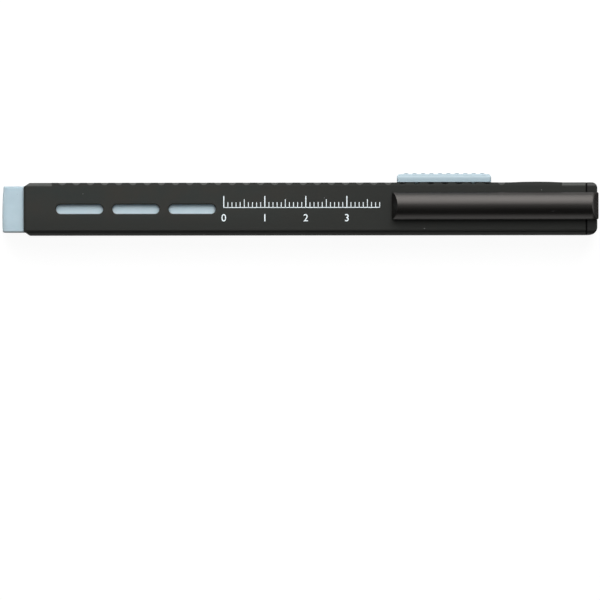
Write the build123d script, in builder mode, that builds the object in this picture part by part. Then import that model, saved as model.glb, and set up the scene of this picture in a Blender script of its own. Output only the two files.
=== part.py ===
"""Click-type eraser stick: a slim flat holder with a rectangular eraser that a ribbed button feeds out.

The stick lies on its back. X runs from the eraser's tip to the tail, Y points to the narrow side that
carries the button, and Z points up from the back face to the broad front face with the clip. The origin
is in the plane of the back face, half way along the whole stick and on the barrel's centre line.
"""

import os
from math import atan2, degrees, sqrt

from build123d import *

# Lengths along the stick
tip_reach = 5.3  # eraser in front of the mouth, at rest
tail_room = 8.74  # free bore between the drawn-in carrier and the cap's plug
seam_gap = 0.25  # dark groove between barrel and end cap
cap_length = 2.5
clip_overhang = 0.25  # clip's tail behind the cap

# Barrel section and walls
barrel_width = 12.85
barrel_depth = 8.0
side_wall = 0.65  # the two narrow sides
face_wall = 0.95  # front and back
keel_round = 1.2  # long edges on the side away from the button
rail_round = 1.0  # long edges on the button's side, in front of and behind the rails
bore_round = 0.3
ledge_width = 0.88  # narrow step along the front edge of the keel side
ledge_drop = 0.6  # below the front face
brow_length = 0.5  # where the front face curves down to the ledge

# Rails: square edges on the button's side, with a row of notches in each
rail_lead = 6.9  # mouth to the start of the rails
rail_tail = 5.9  # end of the rails to the barrel's end
notch_lead = 9.4  # mouth to the first notch, to the nearest half pitch
notch_pitch = 3.455
notch_width = 1.9
notch_leg = 0.6  # depth seen on the front and back faces
notch_reach = 1.1  # height seen on the narrow side
rail_swell = 0.16  # low hump of the narrow side behind the last notch
rail_swell_length = 12.5

# Mouth
mouth_bevel_length = 1.45
mouth_bevel_depth = 1.0
lip_bevel_length = 0.55
lip_bevel_depth = 0.3

# Windows on the front face
window_count = 3
window_length = 11.5
window_width = 2.3
window_pitch = 13.72
window_lead = 7.9  # mouth to the first window
window_bevel = 0.2

# Eraser
eraser_length = 83.6  # without its tab
bore_gap = 0.1  # eraser or carrier to the narrow walls
bore_face_gap = 0.1  # eraser or carrier to the front and back walls
eraser_round = 0.5
eraser_tip_round = 0.45
tab_length = 5.2
tab_neck_half = 2.02
tab_neck_reach = 1.6
tab_head_half = 2.52
tab_head_reach = 4.3
tab_root_half = 3.2
tab_round = 0.7  # slope at the head's corners
tab_corner_round = 0.4
panel_length = 28.5  # shallow frame on the eraser's front face
panel_width = 6.7
panel_line = 0.4
panel_sink = 0.2
panel_back = 3.2  # panel to the tail shoulder

# Eraser carrier
stem_back = 24.235  # carrier's front to the middle of the button's stem
carrier_tail = 6.765  # carrier behind the stem
shoulder_gap = 0.15
tab_gap = 0.12
jaw_length = 8.5
carrier_bar = 2.2  # top and bottom bars of the ladder frame
carrier_rib = 2.0
carrier_bays = 3
carrier_round = 0.4

# Button
button_length = 22.9
button_width = 7.8
button_rise = 2.05  # barrel's side to the button's top, under its ribs
button_gap = 0.12
button_shift = -0.15  # button's middle from the middle of the two pairs of click noses
button_nose_round = 0.7
button_tail_round = 0.9
button_edge_round = 0.35
rib_count = 10
rib_pitch = 2.06
rib_width = 1.3
rib_height = 0.25
rib_inset = 0.5  # button's front face to the end of a rib

# Stem of the button, through the slot into the carrier
slot_width = 3.0
slot_spare = 0.95  # free length of slot past the stem at each end of the travel
stem_length = 8.0
stem_gap = 0.2  # stem to the slot's sides
stem_fit = 0.05  # stem to the carrier's hole
hook_reach = 0.4
hook_height = 0.8
hook_spare = 0.2  # free space below the hooks

# Click spring under the button
spring_thickness = 0.35
spring_width = 5.2
spring_saddle = 10.4  # flat middle that lies on the recess roof
spring_rise = 0.5  # drop of the arms from the saddle to the noses
nose_notches = 2  # from the middle of the spring to each pair of noses
nose_width = 0.7
nose_foot_gap = 0.12  # nose to the floor of its notch
nose_lift = 0.3  # free space above a nose, for the click over a ridge
nose_land = 0.7  # arm past the nose's middle
nose_spare = 0.1  # nose to the walls of its pocket in the skirt
skirt_skin = 0.3  # skirt in front of a nose
recess_spare = 0.3
click_back = 2  # clicks from rest to the fully drawn-in eraser

# End cap
cap_rail_corner = 1.4  # on the button's side
cap_keel_corner = 2.0
lobe_round = 0.6  # cap's corners beside the clip's tail
lobe_fill_share = 0.8  # most of the flat beside the channel that the round may take
cap_edge_bevel = 0.3
cap_relief = 0.12  # cap's back face above the barrel's, so that the stick lies on the barrel
plug_length = 8.0
plug_gap = 0.1
plug_wall = 1.0
seam_inset = 0.35
snap_back = 4.0  # barrel's end to the middle of the snap ridges
snap_length = 0.9
snap_width = 5.0
snap_height = 0.22
snap_spare = 0.08

# Clip
clip_length = 50.35
clip_width = 6.6
clip_height = 2.5
clip_corner = 0.35  # arm's corners, seen from the front
clip_edge = 0.4  # upright edge under the half-round crown
clip_shift = 0.68  # clip's centre line, towards the button's side
clip_gap = 0.9  # under the arm
clip_front_slope = 1.35
clip_tail_slope = 1.65
groove_width = 3.6
groove_depth = 0.9
groove_margin = 4.5
bump_back = 2.3
bump_half = 1.8
bump_width = 4.6
bump_clearance = 0.15
leg_thickness = 1.85
leg_width = 5.6
foot_radius = 0.85
foot_height = 3.0  # foot's centre above the back face
foot_back = 1.15  # foot's centre to the cap's end
foot_clearance = 0.05
leg_clearance = 0.15
lip_height = 0.5  # cap's rear lip above the foot's centre

overrun = 1.0  # cutters run past the faces that they cut

os.makedirs("parts", exist_ok=True)

# Places that follow from the sizes
travel_in = click_back * notch_pitch
carrier_length = stem_back + stem_length / 2 + carrier_tail
carried_length = eraser_length + shoulder_gap + carrier_length
barrel_length = carried_length - tip_reach + travel_in + tail_room + plug_length
overall_length = tip_reach + barrel_length + seam_gap + cap_length + clip_overhang
tip_x = -overall_length / 2
mouth_x = tip_x + tip_reach
tail_x = mouth_x + barrel_length
cap_front_x = tail_x + seam_gap
cap_end_x = cap_front_x + cap_length
clip_end_x = cap_end_x + clip_overhang
clip_front_x = clip_end_x - clip_length

side_y = barrel_width / 2
mid_z = barrel_depth / 2
bore_width = barrel_width - 2 * side_wall
bore_depth = barrel_depth - 2 * face_wall
eraser_width = bore_width - 2 * bore_gap
eraser_depth = bore_depth - 2 * bore_face_gap
eraser_side_y = eraser_width / 2
crease_y = -side_y + ledge_width

shoulder_x = tip_x + eraser_length
carrier_front_x = shoulder_x + shoulder_gap
carrier_end_x = carrier_front_x + carrier_length
spring_x = carrier_front_x + stem_back

# Notches, counted from zero at the mouth: one is under the spring's middle at rest
rest_notch = round((spring_x - mouth_x - notch_lead) / notch_pitch)
notch_count = rest_notch + nose_notches + click_back + 1
first_notch_x = spring_x - rest_notch * notch_pitch
rail_start_x = mouth_x + rail_lead
rail_end_x = tail_x - rail_tail
rail_length = rail_end_x - rail_start_x
notch_chord = sqrt(notch_leg**2 + notch_reach**2)
notch_dip = notch_leg * notch_reach / notch_chord
notch_radius = ((notch_width / 2) ** 2 + notch_dip**2) / (2 * notch_dip)
notch_out_y = (notch_radius - notch_dip) * notch_reach / notch_chord
notch_out_z = (notch_radius - notch_dip) * notch_leg / notch_chord
notch_tilt = degrees(atan2(notch_leg, notch_reach))

nose_span = nose_notches * notch_pitch
button_x = spring_x + button_shift
button_under_y = side_y + button_gap
button_top_y = side_y + button_rise
travel_out = (rest_notch - nose_notches) * notch_pitch
stem_width = slot_width - 2 * stem_gap
slot_start_x = spring_x - stem_length / 2 - travel_out - slot_spare
slot_end_x = spring_x + stem_length / 2 + travel_in + slot_spare

arm_z = barrel_depth + clip_gap
crown_z = arm_z + clip_height
foot_x = cap_end_x - foot_back
leg_front_x = clip_end_x - leg_thickness
channel_front_x = leg_front_x - leg_clearance
channel_floor_z = foot_height + lip_height
leg_bottom_z = channel_floor_z + leg_clearance


def holder_section():
    """Outline of barrel and cap across the stick, with its own rounds on each narrow side."""
    with BuildSketch() as section:
        with Locations((0, mid_z)):
            Rectangle(barrel_width, barrel_depth)
        fillet(section.vertices().group_by(Axis.X)[0], keel_round)
        fillet(section.vertices().group_by(Axis.X)[-1], rail_round)
    return section.sketch


def tab_sketch():
    """Key-shaped tab on the eraser's tail, drawn with its origin in the middle of the shoulder."""
    upper = [
        (-tab_round, tab_root_half),
        (0, tab_root_half),
        (tab_neck_reach, tab_neck_half),
        (tab_head_reach, tab_head_half),
        (tab_length, tab_head_half - tab_round),
    ]
    lower = [(x, -y) for x, y in reversed(upper)]
    with BuildSketch() as tab:
        with BuildLine():
            Polyline(*upper, *lower, close=True)
        make_face()
        fillet(tab.vertices().sort_by(Axis.X)[4:], tab_corner_round)
    return tab.sketch


# Barrel: one moulding, open at both ends
with BuildPart() as barrel:
    with BuildSketch(Plane.YZ.offset(mouth_x)):
        add(holder_section())
    extrude(amount=barrel_length)

    # Square rails fill the rounded edges along the notches
    with BuildSketch(Plane.YZ.offset(rail_start_x)):
        with Locations((side_y - rail_round / 2, rail_round / 2)):
            Rectangle(rail_round, rail_round)
        with Locations((side_y - rail_round / 2, barrel_depth - rail_round / 2)):
            Rectangle(rail_round, rail_round)
    extrude(amount=rail_length)

    # Low hump of the narrow side behind the notches
    with BuildSketch(Plane.XY):
        with BuildLine():
            swell_start_x = rail_end_x - rail_swell_length
            ThreePointArc(
                (swell_start_x, side_y),
                (rail_end_x - rail_swell_length / 2, side_y + rail_swell),
                (rail_end_x, side_y),
            )
            Line((rail_end_x, side_y), (swell_start_x, side_y))
        make_face()
    extrude(amount=barrel_depth)

    # Bore
    with BuildSketch(Plane.YZ.offset(mouth_x - overrun)):
        with Locations((0, mid_z)):
            RectangleRounded(bore_width, bore_depth, bore_round)
    extrude(amount=barrel_length + 2 * overrun, mode=Mode.SUBTRACT)

    # Mouth: both narrow sides are cut back, front and back lips get a small bevel
    with BuildSketch(Plane.XY.offset(-overrun)):
        for side in (1, -1):
            with BuildLine():
                Polyline(
                    (mouth_x, side * (side_y - mouth_bevel_depth)),
                    (mouth_x + mouth_bevel_length, side * side_y),
                    (mouth_x, side * (side_y + mouth_bevel_depth)),
                    close=True,
                )
            make_face()
    extrude(amount=barrel_depth + 2 * overrun, mode=Mode.SUBTRACT)
    with BuildSketch(Plane.XZ.offset(-side_y - overrun)):
        for lip_z, way in ((0, 1), (barrel_depth, -1)):
            with BuildLine():
                Polyline(
                    (mouth_x, lip_z + way * lip_bevel_depth),
                    (mouth_x + lip_bevel_length, lip_z),
                    (mouth_x, lip_z - way * lip_bevel_depth),
                    close=True,
                )
            make_face()
    extrude(amount=barrel_width + 2 * overrun, mode=Mode.SUBTRACT)

    # Step along the front edge of the keel side, with the face curving down to it
    with BuildSketch(Plane.YZ.offset(mouth_x - overrun)):
        with BuildLine():
            TangentArc(
                (crease_y + brow_length, barrel_depth),
                (crease_y, barrel_depth - ledge_drop),
                tangent=(-1, 0),
            )
            Polyline(
                (crease_y, barrel_depth - ledge_drop),
                (-side_y - overrun, barrel_depth - ledge_drop),
                (-side_y - overrun, barrel_depth + overrun),
                (crease_y + brow_length, barrel_depth + overrun),
                (crease_y + brow_length, barrel_depth),
            )
        make_face()
    extrude(amount=barrel_length + 2 * overrun, mode=Mode.SUBTRACT)

    # Windows through the front face, with a small bevel round each
    with BuildSketch(Plane.XY.offset(barrel_depth)):
        for number in range(window_count):
            with Locations((mouth_x + window_lead + window_length / 2 + number * window_pitch, 0)):
                SlotOverall(window_length, window_width)
    extrude(amount=-face_wall - bore_round, mode=Mode.SUBTRACT)
    rims = barrel.edges().group_by(Axis.Z)[-1].filter_by_position(
        Axis.Y, -window_width, window_width
    )
    chamfer(
        rims.filter_by_position(Axis.X, mouth_x + lip_bevel_length * 2, rail_end_x),
        window_bevel,
    )

    # Slot for the button's stem, through the narrow wall
    with BuildSketch(Plane.XZ.offset(-side_y - overrun)):
        with Locations(((slot_start_x + slot_end_x) / 2, mid_z)):
            SlotOverall(slot_end_x - slot_start_x, slot_width)
    extrude(amount=side_wall + 2 * overrun, mode=Mode.SUBTRACT)

    # Notches: scoops laid across both rail edges
    notch_places = []
    for number in range(notch_count):
        notch_x = first_notch_x + number * notch_pitch
        for edge_z, way in ((0, -1), (barrel_depth, 1)):
            notch_places.append(
                Location(
                    (notch_x, side_y + notch_out_y, edge_z + way * notch_out_z),
                    (way * notch_tilt, 0, 0),
                )
            )
    with Locations(*notch_places):
        Cylinder(notch_radius, 4 * notch_reach, mode=Mode.SUBTRACT)

    # Grooves inside the front and back walls for the cap's snap ridges
    with BuildSketch(Plane.XY.offset(face_wall - snap_height - snap_spare)):
        with Locations((tail_x - snap_back, 0)):
            Rectangle(snap_length + 2 * snap_spare, snap_width + 2 * snap_spare)
    extrude(amount=bore_depth + 2 * (snap_height + snap_spare), mode=Mode.SUBTRACT)

barrel.part.label = "barrel"
export_step(barrel.part, "parts/barrel.step")


# Eraser: soft rectangular stick with a key-shaped tab and a shallow frame on its face
with BuildPart() as eraser:
    with BuildSketch(Plane.YZ.offset(tip_x)):
        with Locations((0, mid_z)):
            RectangleRounded(eraser_width, eraser_depth, eraser_round)
    extrude(amount=eraser_length)
    fillet(eraser.faces().sort_by(Axis.X)[0].edges(), eraser_tip_round)
    with BuildSketch(Plane.XY.offset(mid_z - eraser_depth / 2)):
        with Locations((shoulder_x, 0)):
            add(tab_sketch())
    extrude(amount=eraser_depth)
    with BuildSketch(Plane.XY.offset(mid_z + eraser_depth / 2)):
        with Locations((shoulder_x - panel_back - panel_length / 2, 0)):
            Rectangle(panel_length, panel_width)
            Rectangle(panel_length - 2 * panel_line, panel_width - 2 * panel_line, mode=Mode.SUBTRACT)
    extrude(amount=-panel_sink, mode=Mode.SUBTRACT)

eraser.part.label = "eraser"
export_step(eraser.part, "parts/eraser.step")


# Eraser carrier: jaws round the tab, and a ladder frame behind them
bay_start_x = carrier_front_x + jaw_length
bay_pitch = (carrier_end_x - bay_start_x) / carrier_bays
bay_length = bay_pitch - carrier_rib
bay_height = eraser_width - 2 * carrier_bar
stem_bottom_y = eraser_side_y - carrier_bar
with BuildPart() as eraser_carrier:
    with BuildSketch(Plane.YZ.offset(carrier_front_x)):
        with Locations((0, mid_z)):
            RectangleRounded(eraser_width, eraser_depth, carrier_round)
    extrude(amount=carrier_length)
    with BuildSketch(Plane.XY.offset(mid_z - eraser_depth / 2)):
        with Locations((shoulder_x, 0)):
            add(tab_sketch())
        offset(amount=tab_gap)
    extrude(amount=eraser_depth, mode=Mode.SUBTRACT)
    with BuildSketch(Plane.XY.offset(mid_z - eraser_depth / 2)):
        for number in range(carrier_bays):
            with Locations((bay_start_x + bay_length / 2 + number * bay_pitch, 0)):
                Rectangle(bay_length, bay_height)
    extrude(amount=eraser_depth, mode=Mode.SUBTRACT)
    # Hole in the top bar for the button's stem and its two hooks
    with BuildSketch(Plane.XZ.offset(-eraser_side_y - overrun)):
        with Locations((spring_x, mid_z)):
            Rectangle(stem_length + 2 * stem_fit, stem_width + 2 * stem_fit)
    extrude(amount=overrun + carrier_bar + hook_height + hook_spare, mode=Mode.SUBTRACT)

eraser_carrier.part.label = "eraser_carrier"
export_step(eraser_carrier.part, "parts/eraser_carrier.step")


# Button: ribbed cap over the slot, hollow below for the click spring, with a hooked stem
recess_length = 2 * (nose_span + nose_land + recess_spare)
recess_width = spring_width + 2 * recess_spare
recess_depth = spring_rise + spring_thickness
recess_roof_y = button_under_y + recess_depth
with BuildPart() as slider_button:
    with BuildSketch(Plane.XY.offset(mid_z - button_width / 2)) as button_side:
        with Locations((button_x, (button_under_y + button_top_y) / 2)):
            outline = Rectangle(button_length, button_top_y - button_under_y)
        top_corners = outline.vertices().group_by(Axis.Y)[-1].sort_by(Axis.X)
        fillet(top_corners[0], button_nose_round)
        fillet(button_side.vertices().group_by(Axis.Y)[-1].sort_by(Axis.X)[-1], button_tail_round)
    extrude(amount=button_width)
    broad_faces = slider_button.faces().filter_by(Axis.Z).edges()
    fillet(broad_faces.sort_by(Axis.Y)[2:], button_edge_round)

    # Ribs across the top
    rib_radius = ((rib_width / 2) ** 2 + rib_height**2) / (2 * rib_height)
    rib_length = button_width - 2 * rib_inset
    with BuildSketch(Plane.XY.offset(mid_z - rib_length / 2)):
        for number in range(rib_count):
            rib_x = button_x + (number - (rib_count - 1) / 2) * rib_pitch
            with Locations((rib_x, button_top_y + rib_height - rib_radius)):
                Circle(rib_radius)
    extrude(amount=rib_length)

    # Recess below, with pockets in both skirts for the noses
    with BuildSketch(Plane.XZ.offset(-button_under_y)):
        with Locations((spring_x, mid_z)):
            Rectangle(recess_length, recess_width)
    extrude(amount=-recess_depth, mode=Mode.SUBTRACT)
    with BuildSketch(Plane.XZ.offset(-button_under_y)):
        with Locations((spring_x - nose_span, mid_z), (spring_x + nose_span, mid_z)):
            Rectangle(nose_width + 2 * nose_spare, button_width - 2 * skirt_skin)
    extrude(amount=-(spring_thickness + nose_lift), mode=Mode.SUBTRACT)

    # Stem down through the slot, with a hook at each end under the carrier's bar
    with BuildSketch(Plane.XZ.offset(-recess_roof_y)):
        with Locations((spring_x, mid_z)):
            Rectangle(stem_length, stem_width)
    extrude(amount=recess_roof_y - stem_bottom_y)
    with BuildSketch(Plane.XY.offset(mid_z - stem_width / 2)):
        with BuildLine():
            Polyline(
                (spring_x - stem_length / 2 - hook_reach, stem_bottom_y - stem_fit),
                (spring_x + stem_length / 2 + hook_reach, stem_bottom_y - stem_fit),
                (spring_x + stem_length / 2 - hook_reach, stem_bottom_y - hook_height),
                (spring_x - stem_length / 2 + hook_reach, stem_bottom_y - hook_height),
                close=True,
            )
        make_face()
    extrude(amount=stem_width)
    with BuildSketch(Plane.XZ.offset(-stem_bottom_y)):
        with Locations((spring_x, mid_z)):
            Rectangle(stem_length, stem_width)
    extrude(amount=stem_fit)

slider_button.part.label = "slider_button"
export_step(slider_button.part, "parts/slider_button.step")


# Click spring: a leaf with a flat saddle round the stem and two drooping arms with noses
with BuildPart() as click_spring:
    spring_top_y = recess_roof_y
    arm_end = nose_span + nose_land
    with BuildSketch(Plane.XY.offset(mid_z - spring_width / 2)):
        with BuildLine():
            Polyline(
                (spring_x - arm_end, spring_top_y - spring_rise),
                (spring_x - nose_span, spring_top_y - spring_rise),
                (spring_x - spring_saddle / 2, spring_top_y),
                (spring_x + spring_saddle / 2, spring_top_y),
                (spring_x + nose_span, spring_top_y - spring_rise),
                (spring_x + arm_end, spring_top_y - spring_rise),
                (spring_x + arm_end, spring_top_y - spring_rise - spring_thickness),
                (spring_x + nose_span, spring_top_y - spring_rise - spring_thickness),
                (spring_x + spring_saddle / 2, spring_top_y - spring_thickness),
                (spring_x - spring_saddle / 2, spring_top_y - spring_thickness),
                (spring_x - nose_span, spring_top_y - spring_rise - spring_thickness),
                (spring_x - arm_end, spring_top_y - spring_rise - spring_thickness),
                close=True,
            )
        make_face()
    extrude(amount=spring_width)
    with BuildSketch(Plane.XZ.offset(-spring_top_y - overrun)):
        with Locations((spring_x, mid_z)):
            Rectangle(stem_length + 2 * stem_fit, stem_width + 2 * stem_fit)
    extrude(amount=spring_rise + spring_thickness + 2 * overrun, mode=Mode.SUBTRACT)

    # Noses: side ears whose sloping feet lie in the notches
    ear_top_y = spring_top_y - spring_rise
    ear_under_y = ear_top_y - spring_thickness
    ear_reach = button_width / 2 - skirt_skin - nose_spare
    floor_slope = notch_leg / notch_reach
    floor_y = side_y - notch_leg + (mid_z - ear_reach) * floor_slope
    foot_y = floor_y + nose_foot_gap * notch_chord / notch_reach
    for arm_x in (spring_x - nose_span, spring_x + nose_span):
        with BuildSketch(Plane.YZ.offset(arm_x - nose_width / 2)):
            with BuildLine():
                Polyline(
                    (ear_top_y, mid_z),
                    (ear_top_y, mid_z + ear_reach),
                    (foot_y, mid_z + ear_reach),
                    (ear_under_y, mid_z + ear_reach - (ear_under_y - foot_y) / floor_slope),
                    (ear_under_y, mid_z),
                    close=True,
                )
            make_face()
            mirror(about=Plane.XZ.offset(-mid_z))
        extrude(amount=nose_width)

click_spring.part.label = "click_spring"
export_step(click_spring.part, "parts/click_spring.step")


# End cap: flange with round corners, hollow plug in the bore, and a channel for the clip's leg
with BuildPart() as end_cap:
    with BuildSketch(Plane.YZ.offset(cap_front_x)):
        add(holder_section())
    extrude(amount=cap_length)
    with BuildSketch(Plane.XY) as cap_outline:
        with Locations((cap_front_x, 0)):
            Rectangle(2 * cap_length, barrel_width)
        fillet(cap_outline.vertices().group_by(Axis.X)[-1].sort_by(Axis.Y)[0], cap_keel_corner)
        fillet(cap_outline.vertices().group_by(Axis.X)[-1].sort_by(Axis.Y)[-1], cap_rail_corner)
    extrude(amount=barrel_depth, mode=Mode.INTERSECT)
    with BuildSketch(Plane.XY):
        with Locations((cap_front_x, 0)):
            Rectangle(4 * cap_length, barrel_width + 2 * overrun)
    extrude(amount=cap_relief, mode=Mode.SUBTRACT)
    with BuildSketch(Plane.XZ.offset(-side_y - overrun)):
        for edge_z, way in ((cap_relief, 1), (barrel_depth, -1)):
            with BuildLine():
                Polyline(
                    (cap_end_x, edge_z + way * cap_edge_bevel),
                    (cap_end_x - cap_edge_bevel, edge_z),
                    (cap_end_x, edge_z - way * cap_edge_bevel),
                    close=True,
                )
            make_face()
    extrude(amount=barrel_width + 2 * overrun, mode=Mode.SUBTRACT)

    # Neck that seats on the barrel's end, and the plug
    with BuildSketch(Plane.YZ.offset(cap_front_x)):
        with Locations((0, mid_z)):
            Rectangle(barrel_width - 2 * seam_inset, barrel_depth - 2 * seam_inset)
    extrude(amount=-seam_gap)
    plug_width = bore_width - 2 * plug_gap
    plug_depth = bore_depth - 2 * plug_gap
    with BuildSketch(Plane.YZ.offset(tail_x)):
        with Locations((0, mid_z)):
            RectangleRounded(plug_width, plug_depth, bore_round)
    extrude(amount=-plug_length)
    with BuildSketch(Plane.YZ.offset(tail_x)):
        with Locations((0, mid_z)):
            Rectangle(plug_width - 2 * plug_wall, plug_depth - 2 * plug_wall)
    extrude(amount=-plug_length - overrun, mode=Mode.SUBTRACT)
    with BuildSketch(Plane.XZ.offset(-snap_width / 2)):
        for face_z in (mid_z - plug_depth / 2, mid_z + plug_depth / 2):
            with Locations((tail_x - snap_back, face_z)):
                Circle(snap_height + plug_gap)
    extrude(amount=snap_width)

    # Channel and socket for the clip's leg and round foot
    with BuildSketch(Plane.YZ.offset(channel_front_x)):
        with Locations((clip_shift, (channel_floor_z + barrel_depth + overrun) / 2)):
            Rectangle(leg_width + 2 * leg_clearance, barrel_depth + overrun - channel_floor_z)
    extrude(amount=cap_end_x - channel_front_x + overrun, mode=Mode.SUBTRACT)
    channel_half = leg_width / 2 + 2 * leg_clearance
    lobe_edges = end_cap.edges().filter_by(Axis.Z).group_by(Axis.X)[-1].filter_by_position(
        Axis.Y, clip_shift - channel_half, clip_shift + channel_half
    )
    lobe_flat = side_y - cap_rail_corner - clip_shift - leg_width / 2 - leg_clearance
    fillet(lobe_edges, min(lobe_round, lobe_fill_share * lobe_flat))
    with BuildSketch(Plane.XZ.offset(-clip_shift - leg_width / 2 - leg_clearance)):
        with Locations((foot_x, foot_height)):
            Circle(foot_radius + foot_clearance)
        with Locations(((channel_front_x + foot_x) / 2, (foot_height + channel_floor_z) / 2)):
            Rectangle(foot_x - channel_front_x, channel_floor_z - foot_height)
    extrude(amount=leg_width + 2 * leg_clearance, mode=Mode.SUBTRACT)

end_cap.part.label = "end_cap"
export_step(end_cap.part, "parts/end_cap.step")


# Clip: half-round arm with slanted ends, a bump under its front, and a leg with a round foot
with BuildPart() as clip:
    with BuildSketch(Plane.YZ.offset(clip_front_x)):
        with BuildLine():
            Polyline(
                (clip_shift - clip_width / 2, arm_z + clip_edge),
                (clip_shift - clip_width / 2, arm_z),
                (clip_shift + clip_width / 2, arm_z),
                (clip_shift + clip_width / 2, arm_z + clip_edge),
            )
            ThreePointArc(
                (clip_shift + clip_width / 2, arm_z + clip_edge),
                (clip_shift, crown_z),
                (clip_shift - clip_width / 2, arm_z + clip_edge),
            )
        make_face()
    extrude(amount=clip_length)
    with BuildSketch(Plane.XZ.offset(-side_y)):
        with BuildLine():
            Polyline(
                (clip_front_x, arm_z),
                (clip_front_x + clip_front_slope, crown_z),
                (clip_end_x - clip_tail_slope, crown_z),
                (clip_end_x, arm_z),
                close=True,
            )
        make_face()
    extrude(amount=barrel_width, mode=Mode.INTERSECT)
    with BuildSketch(Plane.XY.offset(arm_z)):
        with Locations(((clip_front_x + clip_end_x) / 2, clip_shift)):
            RectangleRounded(clip_length, clip_width, clip_corner)
    extrude(amount=clip_height, mode=Mode.INTERSECT)
    with BuildSketch(Plane.XY.offset(arm_z)):
        with Locations(((clip_front_x + clip_end_x) / 2, clip_shift)):
            SlotOverall(clip_length - 2 * groove_margin, groove_width)
    extrude(amount=groove_depth, mode=Mode.SUBTRACT)
    with BuildSketch(Plane.XZ.offset(-clip_shift - bump_width / 2)):
        bump_x = clip_front_x + bump_back
        with BuildLine():
            ThreePointArc(
                (bump_x - bump_half, arm_z),
                (bump_x, barrel_depth + bump_clearance),
                (bump_x + bump_half, arm_z),
            )
            Line((bump_x + bump_half, arm_z), (bump_x - bump_half, arm_z))
        make_face()
    extrude(amount=bump_width)
    with BuildSketch(Plane.XZ.offset(-clip_shift - leg_width / 2)):
        with Locations(((leg_front_x + clip_end_x) / 2, (leg_bottom_z + arm_z) / 2)):
            Rectangle(leg_thickness, arm_z - leg_bottom_z)
        with Locations((foot_x, foot_height)):
            Circle(foot_radius)
    extrude(amount=leg_width)

clip.part.label = "clip"
export_step(clip.part, "parts/clip.step")
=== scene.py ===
"""Looks of the click eraser stick: finishes, soft eraser, printed scale, studio and camera.

Everything is in metres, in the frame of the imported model: X runs from the eraser's tip to the
tail, Y to the narrow side with the button, and Z out of the broad front face.
"""

import logging
import math
from dataclasses import dataclass, field
from enum import Enum

import bmesh
import bpy
from mathutils import Matrix, Vector, noise


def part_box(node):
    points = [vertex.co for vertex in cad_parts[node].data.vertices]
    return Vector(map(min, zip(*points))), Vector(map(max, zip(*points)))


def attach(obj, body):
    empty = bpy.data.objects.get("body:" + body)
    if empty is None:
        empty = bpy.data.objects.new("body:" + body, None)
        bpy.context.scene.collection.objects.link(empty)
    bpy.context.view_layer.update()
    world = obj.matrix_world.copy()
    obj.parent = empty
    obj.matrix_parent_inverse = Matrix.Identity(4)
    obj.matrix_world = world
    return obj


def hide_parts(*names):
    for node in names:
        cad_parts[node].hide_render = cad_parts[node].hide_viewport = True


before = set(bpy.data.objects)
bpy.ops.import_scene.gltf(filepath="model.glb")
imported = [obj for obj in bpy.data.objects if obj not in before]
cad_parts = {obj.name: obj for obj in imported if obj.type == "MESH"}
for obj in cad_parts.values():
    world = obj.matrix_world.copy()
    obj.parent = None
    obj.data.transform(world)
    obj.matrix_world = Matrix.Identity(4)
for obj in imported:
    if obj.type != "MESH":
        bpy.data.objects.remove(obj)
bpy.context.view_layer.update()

MM = 0.001
NEAR = 1e-6
WELD = 1e-7
ROUND_PROFILE = 0.5

WAVE_DETAIL = 1.0
GRAIN_DETAIL = 2.0
CLOUD_DETAIL = 3.0
MOTTLE_DETAIL = 4.0
LOG = logging.getLogger("eraser_stick")

Colour = tuple[float, float, float]
Span = tuple[float, float]
WHOLE: Span = (0.0, 1.0)
MIDDLE: Span = (0.3, 0.7)


class Body(Enum):
    """Rigid bodies of the stick, by their names in the record."""

    HOLDER = "holder"
    SLIDER = "slider"
    CLIP = "clip"


class Slot(Enum):
    """Material slots of the record."""

    BARREL = "barrel_black"
    CAP = "cap_black"
    CLIP = "clip_black"
    BUTTON = "button_blue_grey"
    CARRIER = "carrier_plastic"
    LEAF = "leaf_blue_grey"
    ERASER = "eraser_vinyl"


class Tick(Enum):
    """Lengths of the printed scale's lines, in millimetres."""

    SHORT = 1.3
    MIDDLE = 2.0
    LONG = 2.8


def new_material(name: str) -> tuple[bpy.types.Material, bpy.types.ShaderNodeTree, bpy.types.Node]:
    """Makes a node material with an empty tree but for its output and one Principled shader.

    Args:
        name: The material's name.

    Returns:
        The material, its node tree and its Principled shader.
    """
    material = bpy.data.materials.new(name)
    material.use_nodes = True
    tree = material.node_tree
    tree.nodes.clear()
    output = tree.nodes.new("ShaderNodeOutputMaterial")
    shader = tree.nodes.new("ShaderNodeBsdfPrincipled")
    tree.links.new(shader.outputs["BSDF"], output.inputs["Surface"])
    return material, tree, shader


def object_noise(
    tree: bpy.types.ShaderNodeTree,
    size_mm: float,
    detail: float,
    stretch: tuple[float, float, float] = (1.0, 1.0, 1.0),
) -> bpy.types.NodeSocket:
    """Adds a noise on Object coordinates.

    Args:
        tree: The node tree that gets the noise.
        size_mm: Size of the noise's largest cells, in millimetres.
        detail: Octaves of finer noise.
        stretch: Factors on the coordinates; below 1 draws the cells out along that axis.

    Returns:
        The noise's factor output, from 0 to 1.
    """
    coordinates = tree.nodes.new("ShaderNodeTexCoord")
    mapping = tree.nodes.new("ShaderNodeMapping")
    mapping.inputs["Scale"].default_value = stretch
    texture = tree.nodes.new("ShaderNodeTexNoise")
    texture.inputs["Scale"].default_value = 1.0 / (size_mm * MM)
    texture.inputs["Detail"].default_value = detail
    tree.links.new(coordinates.outputs["Object"], mapping.inputs["Vector"])
    tree.links.new(mapping.outputs["Vector"], texture.inputs["Vector"])
    return texture.outputs["Fac"]


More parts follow.
